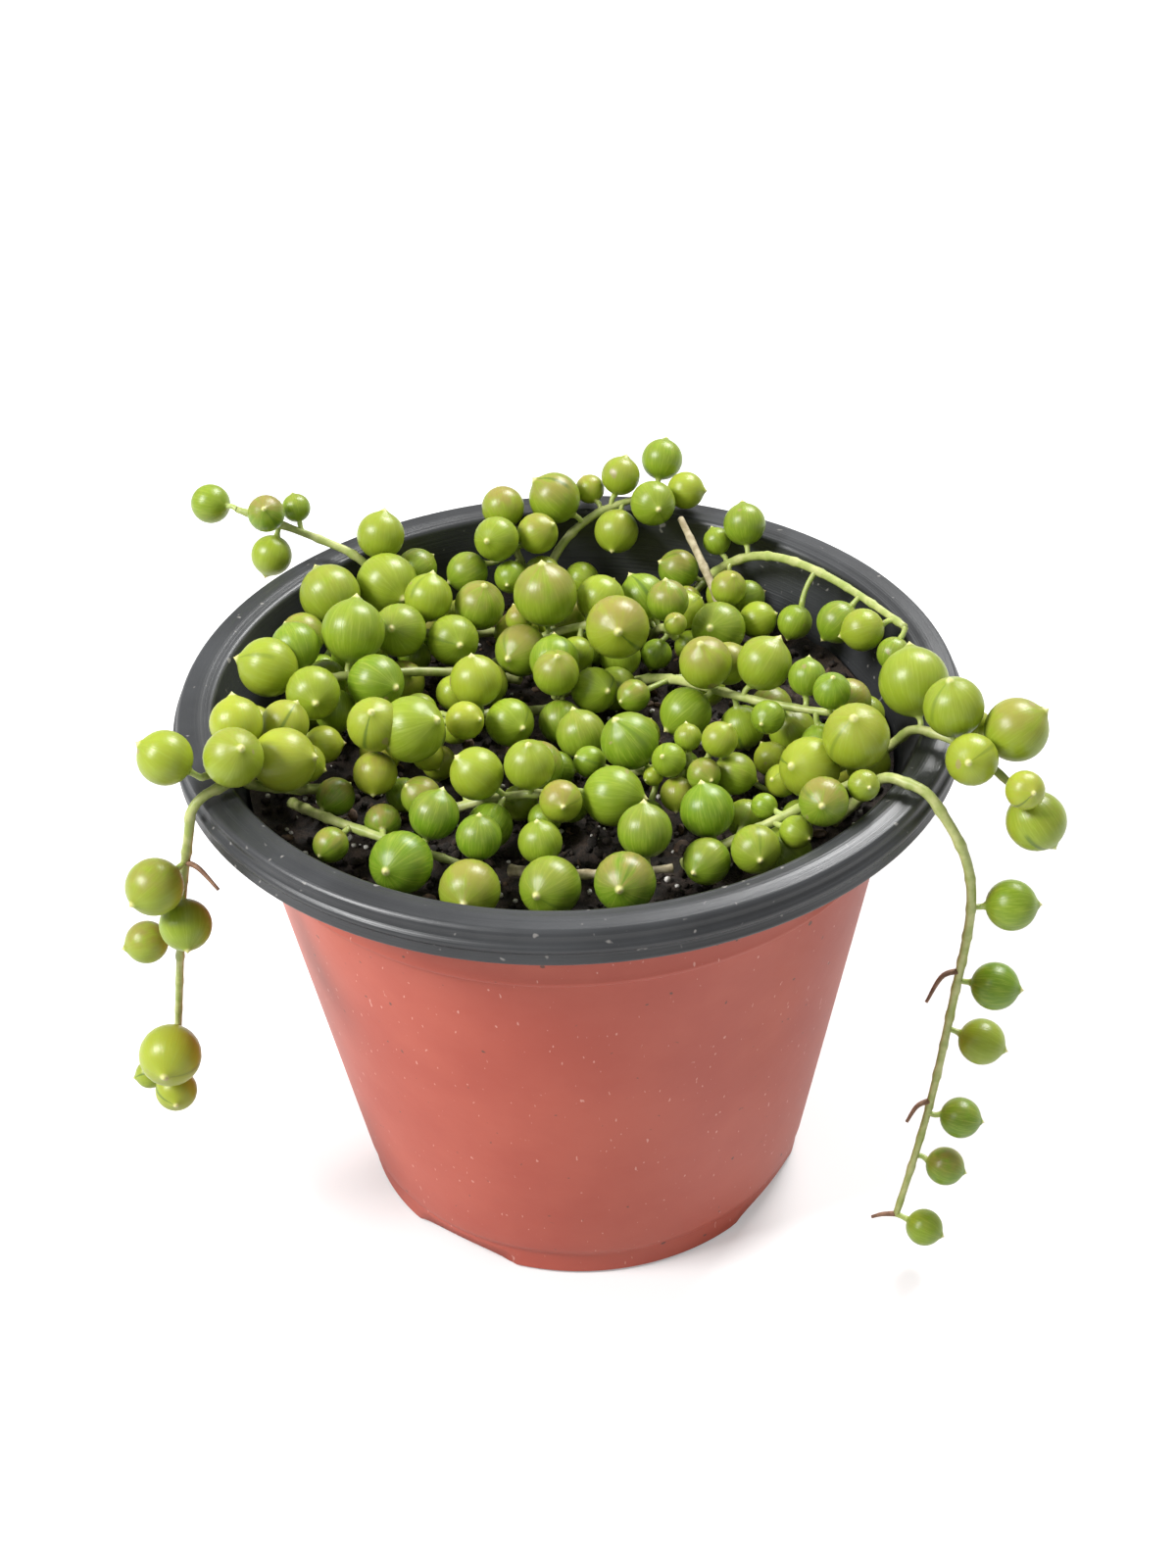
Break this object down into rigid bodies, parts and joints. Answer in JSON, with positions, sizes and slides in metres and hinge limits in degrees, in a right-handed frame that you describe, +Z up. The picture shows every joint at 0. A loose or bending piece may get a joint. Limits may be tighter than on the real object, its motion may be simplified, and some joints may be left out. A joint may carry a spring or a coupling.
{
  "type": "potted string of pearls",
  "caption": "Round tapered nursery pot of soil holding a trailing succulent with round pearl-like leaves on thin stems that spill over the rim.",
  "frame": {"origin": "centre of the pot's flat base disc, on the plane that the pot stands on", "axes": "+Z up along the pot's axis, -Y toward the front, +X to the right seen from the front"},
  "size_m": [0.1242, 0.1064, 0.0916],
  "materials": {
    "pot_plastic": "satin, brick red outside with a black inside and rim",
    "soil_mix": "damp dark potting mix",
    "pearl_leaf": "satin green succulent leaf"
  },
  "bodies": {
    "root": {"pot": "pot_plastic", "potting_soil": "soil_mix", "strand_back_left": "pearl_leaf", "strand_left_upper": "pearl_leaf", "strand_left_back": "pearl_leaf", "strand_left_middle": "pearl_leaf", "strand_left_rim": "pearl_leaf", "strand_left_trail": "pearl_leaf", "strand_front_left": "pearl_leaf", "strand_front_middle": "pearl_leaf", "strand_front_low": "pearl_leaf", "strand_front_right": "pearl_leaf", "strand_centre": "pearl_leaf", "strand_centre_right": "pearl_leaf", "strand_centre_low": "pearl_leaf", "strand_centre_back": "pearl_leaf", "strand_middle_small": "pearl_leaf", "strand_back_rim": "pearl_leaf", "strand_back_middle": "pearl_leaf", "strand_back_right": "pearl_leaf", "strand_old_stem": "pearl_leaf", "strand_right": "pearl_leaf", "strand_right_rim": "pearl_leaf", "strand_right_trail": "pearl_leaf"}
  },
  "joints": []
}
